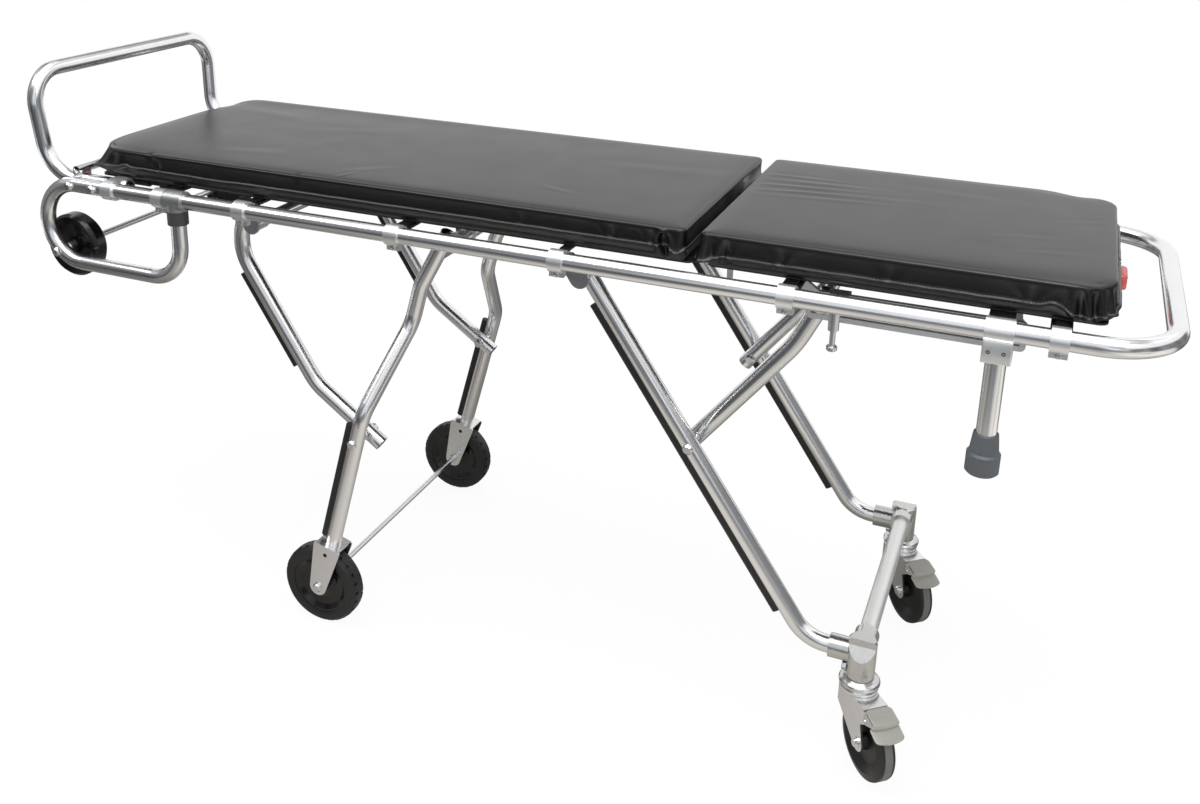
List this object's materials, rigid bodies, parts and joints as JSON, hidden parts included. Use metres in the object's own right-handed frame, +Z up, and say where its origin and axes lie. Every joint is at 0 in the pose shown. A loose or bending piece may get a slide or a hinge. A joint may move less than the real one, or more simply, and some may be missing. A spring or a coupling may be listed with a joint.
{
  "type": "mortuary cot stretcher",
  "caption": "Folding wheeled mortuary cot: tubular frame with loading wheels and push handle, padded bed with tilting backrest, folding legs on fixed wheels and braked swivel casters",
  "frame": {"origin": "on the floor, at the middle of the bounding box seen from above", "axes": "+X towards the operator end with the tilting backrest, +Y to the right of someone who stands there and looks along the cot, +Z up"},
  "size_m": [1.953, 0.6066, 0.988],
  "materials": {
    "polished_tube": "polished",
    "satin_tube": "satin",
    "cast_grey": "dark grey coated casting",
    "bare_aluminium": "cast and machined",
    "steel": "zinc plated",
    "bright_steel": "bright plated",
    "black_bracket": "black painted",
    "black_vinyl": "black coated fabric over foam",
    "black_rubber": "black rubber",
    "grey_rubber": "grey rubber",
    "black_plastic": "black moulded",
    "pale_nylon": "white nylon",
    "grey_pedal": "grey moulded",
    "red_plastic": "red moulded"
  },
  "bodies": {
    "frame": {"cross_bars": "bare_aluminium", "deck_brackets": "black_bracket", "end_bow": "polished_tube", "frame_bolts": "steel", "front_guide_plates": "bare_aluminium", "hinge_fixed_leaves": "steel", "left_side_rail": "polished_tube", "loading_axle": "steel", "locking_stud": "steel", "main_deck": "bare_aluminium", "main_pad": "black_vinyl", "pivot_brackets": "steel", "post_feet": "grey_rubber", "posts": "polished_tube", "push_handle": "polished_tube", "rail_clamps": "bare_aluminium", "rear_guide_plates": "bare_aluminium", "right_side_rail": "polished_tube", "tee_fittings": "cast_grey"},
    "front_arms": {"left_swing_arm": "polished_tube", "right_swing_arm": "polished_tube", "swing_arm_cross_tube": "polished_tube", "swing_arm_strips": "black_rubber"},
    "front_legs": {"left_front_leg": "polished_tube", "right_front_leg": "polished_tube", "front_roller_shaft": "steel", "front_forks": "bright_steel", "front_axle_rod": "steel", "front_leg_bolts": "steel", "front_leg_strips": "black_rubber"},
    "front_roller_pair": {"front_rollers": "pale_nylon"},
    "left_front_wheel": {"left_front_tyre": "black_rubber", "left_front_hub": "black_plastic"},
    "right_front_wheel": {"right_front_tyre": "black_rubber", "right_front_hub": "black_plastic"},
    "rear_legs": {"left_rear_leg": "polished_tube", "right_rear_leg": "polished_tube", "rear_leg_strips": "black_rubber", "caster_castings": "bare_aluminium", "rear_cross_tube": "satin_tube", "brace_bolts": "steel"},
    "rear_braces": {"left_brace": "polished_tube", "right_brace": "polished_tube", "rear_roller_shaft": "steel"},
    "rear_roller_pair": {"rear_rollers": "pale_nylon"},
    "left_caster": {"left_caster_fork": "bright_steel"},
    "right_caster": {"right_caster_fork": "bright_steel"},
    "left_caster_roll": {"left_caster_wheel": "black_plastic", "left_caster_tread": "grey_rubber"},
    "right_caster_roll": {"right_caster_wheel": "black_plastic", "right_caster_tread": "grey_rubber"},
    "left_pedal": {"left_brake_pedal": "grey_pedal"},
    "right_pedal": {"right_brake_pedal": "grey_pedal"},
    "left_loading_roll": {"left_loading_wheel": "black_plastic"},
    "right_loading_roll": {"right_loading_wheel": "black_plastic"},
    "backrest": {"backrest_deck": "bare_aluminium", "backrest_pad": "black_vinyl", "hinge_moving_leaves": "steel"},
    "operator_pull": {"operator_release": "red_plastic"},
    "loading_pull": {"loading_release": "red_plastic"}
  },
  "joints": [
    {"name": "front_fold", "type": "hinge", "parent": "frame", "child": "front_arms", "pos_m": [-0.49, 0, 0.745], "axis": [0, -1, 0], "range_deg": [0, 54]},
    {"name": "front_leg_fold", "type": "hinge", "parent": "front_arms", "child": "front_legs", "pos_m": [-0.2785, 0, 0.383], "axis": [0, -1, 0], "range_deg": [-115.27, 0.2]},
    {"name": "front_roller_spin", "type": "hinge", "parent": "front_legs", "child": "front_roller_pair", "pos_m": [-0.126, 0, 0.745], "axis": [0, -1, 0], "continuous": true},
    {"name": "left_front_wheel_spin", "type": "hinge", "parent": "front_legs", "child": "left_front_wheel", "pos_m": [-0.361, -0.264, 0.077], "axis": [0, 1, 0], "continuous": true},
    {"name": "right_front_wheel_spin", "type": "hinge", "parent": "front_legs", "child": "right_front_wheel", "pos_m": [-0.361, 0.264, 0.077], "axis": [0, 1, 0], "continuous": true},
    {"name": "rear_fold", "type": "hinge", "parent": "frame", "child": "rear_legs", "pos_m": [0.128, 0, 0.745], "axis": [0, -1, 0], "range_deg": [0, 44]},
    {"name": "brace_fold", "type": "hinge", "parent": "rear_legs", "child": "rear_braces", "pos_m": [0.31017, 0, 0.48191], "axis": [0, -1, 0], "range_deg": [-88.2, 0.2]},
    {"name": "rear_roller_spin", "type": "hinge", "parent": "rear_braces", "child": "rear_roller_pair", "pos_m": [0.49234, 0, 0.745], "axis": [0, -1, 0], "continuous": true},
    {"name": "left_caster_swivel", "type": "hinge", "parent": "rear_legs", "child": "left_caster", "pos_m": [0.6055, -0.218, 0.13], "axis": [0, 0, 1], "continuous": true},
    {"name": "left_caster_wheel_spin", "type": "hinge", "parent": "left_caster", "child": "left_caster_roll", "pos_m": [0.63185, -0.24941, 0.061], "axis": [0.766, 0.6428, 0], "continuous": true},
    {"name": "left_brake", "type": "hinge", "parent": "left_caster", "child": "left_pedal", "pos_m": [0.64535, -0.26549, 0.118], "axis": [0.766, 0.6428, 0], "range_deg": [0, 12]},
    {"name": "right_caster_swivel", "type": "hinge", "parent": "rear_legs", "child": "right_caster", "pos_m": [0.6055, 0.218, 0.13], "axis": [0, 0, 1], "continuous": true},
    {"name": "right_caster_wheel_spin", "type": "hinge", "parent": "right_caster", "child": "right_caster_roll", "pos_m": [0.63185, 0.18659, 0.061], "axis": [0.766, 0.6428, 0], "continuous": true},
    {"name": "right_brake", "type": "hinge", "parent": "right_caster", "child": "right_pedal", "pos_m": [0.64535, 0.1705, 0.118], "axis": [0.766, 0.6428, 0], "range_deg": [0, 12]},
    {"name": "left_loading_wheel_spin", "type": "hinge", "parent": "frame", "child": "left_loading_roll", "pos_m": [-0.91336, -0.226, 0.64464], "axis": [0, 1, 0], "continuous": true},
    {"name": "right_loading_wheel_spin", "type": "hinge", "parent": "frame", "child": "right_loading_roll", "pos_m": [-0.91336, 0.226, 0.64464], "axis": [0, 1, 0], "continuous": true},
    {"name": "backrest_tilt", "type": "hinge", "parent": "frame", "child": "backrest", "pos_m": [0.3125, 0, 0.7885], "axis": [0, -1, 0], "range_deg": [0, 35]},
    {"name": "operator_release_pull", "type": "slide", "parent": "frame", "child": "operator_pull", "axis": [1, 0, 0], "range_m": [0, 0.02], "stiffness_N_per_m": 400},
    {"name": "loading_release_pull", "type": "slide", "parent": "frame", "child": "loading_pull", "axis": [-1, 0, 0], "range_m": [0, 0.02], "stiffness_N_per_m": 400}
  ],
  "couplings": [
    {"joint": "front_leg_fold", "follows": "front_fold", "ratio": -2.1309},
    {"joint": "brace_fold", "follows": "rear_fold", "ratio": -2}
  ]
}
